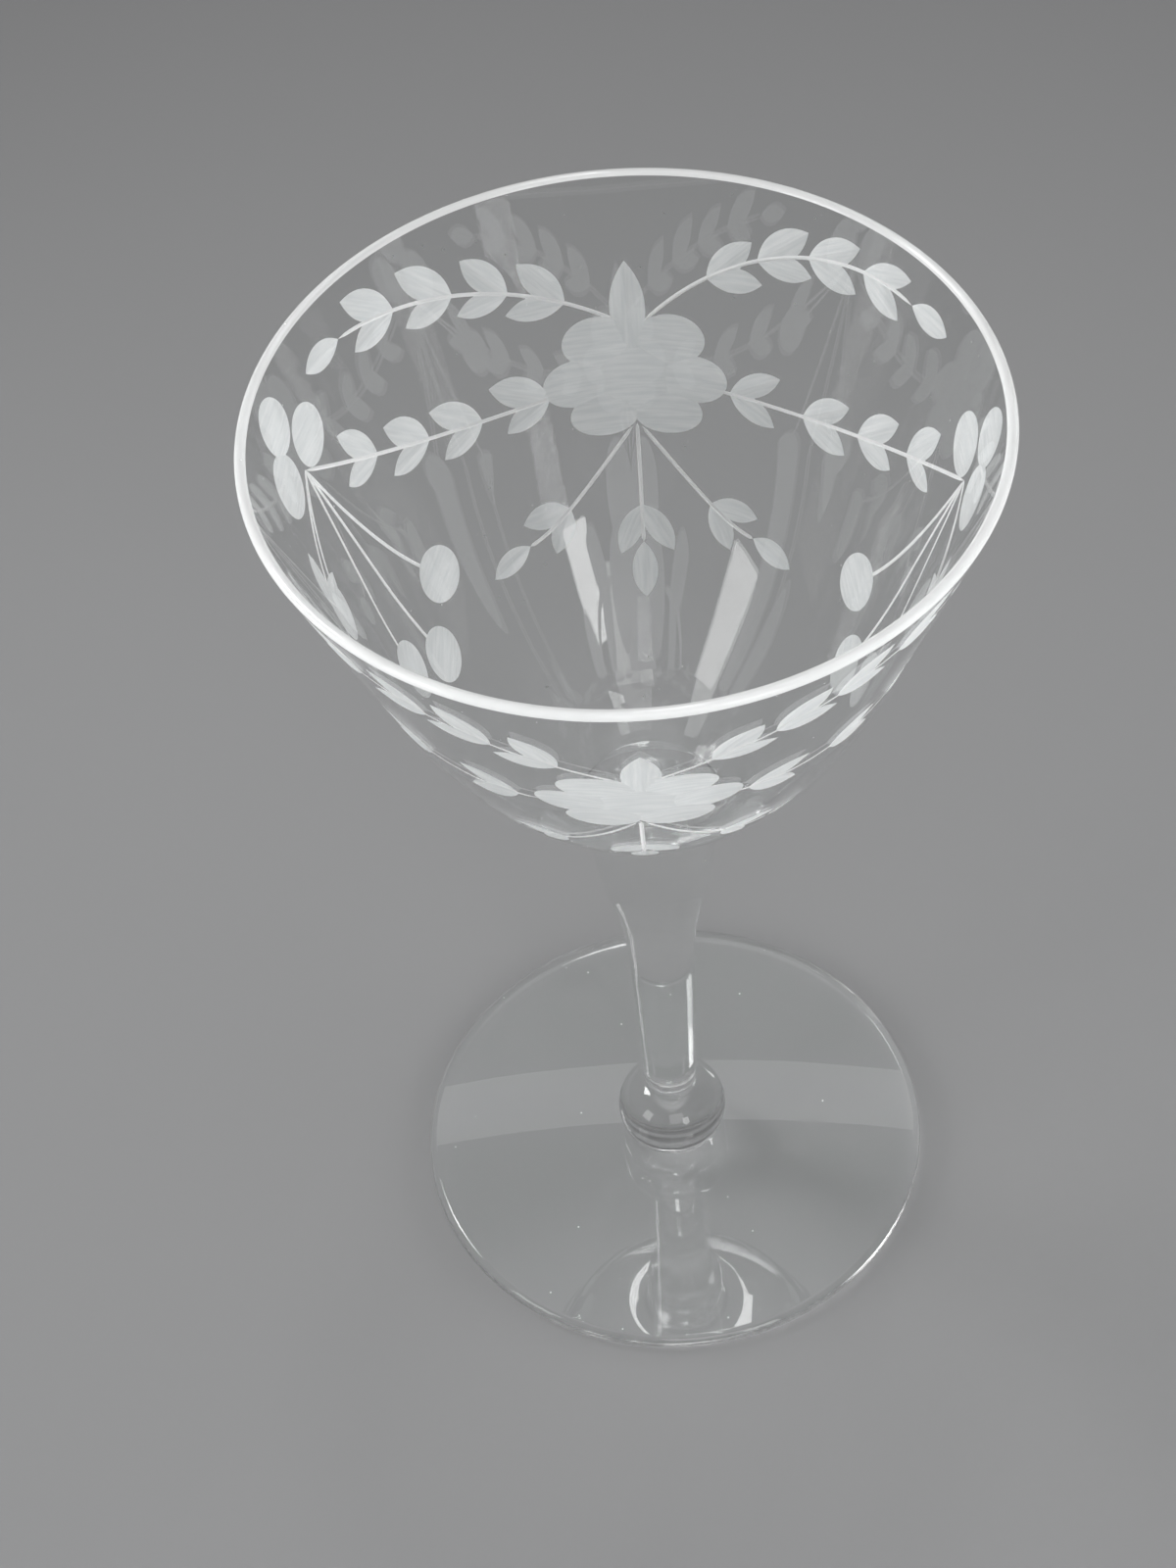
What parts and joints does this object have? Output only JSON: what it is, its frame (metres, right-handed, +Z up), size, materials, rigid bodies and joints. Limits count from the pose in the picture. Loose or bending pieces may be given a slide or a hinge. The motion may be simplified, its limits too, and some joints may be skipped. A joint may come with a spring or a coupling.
{
  "type": "port glass",
  "caption": "Stemmed port glass with a flared bowl, wheel-cut flowers and leafy sprays, a swelling solid stem, a ball knop and a thin round foot.",
  "frame": {"origin": "centre of the foot, on the surface that the glass stands on", "axes": "+Z up the axis of the glass, towards the rim; +Y towards the middle of one of the large cut flowers"},
  "size_m": [0.076, 0.076, 0.127],
  "materials": {
    "cut_glass": "clear and polished, with matt wheel cuts on the outside",
    "clear_glass": "clear and fire-polished"
  },
  "bodies": {
    "root": {"bowl": "cut_glass", "stem": "clear_glass", "knop": "clear_glass", "foot": "clear_glass"}
  },
  "joints": []
}
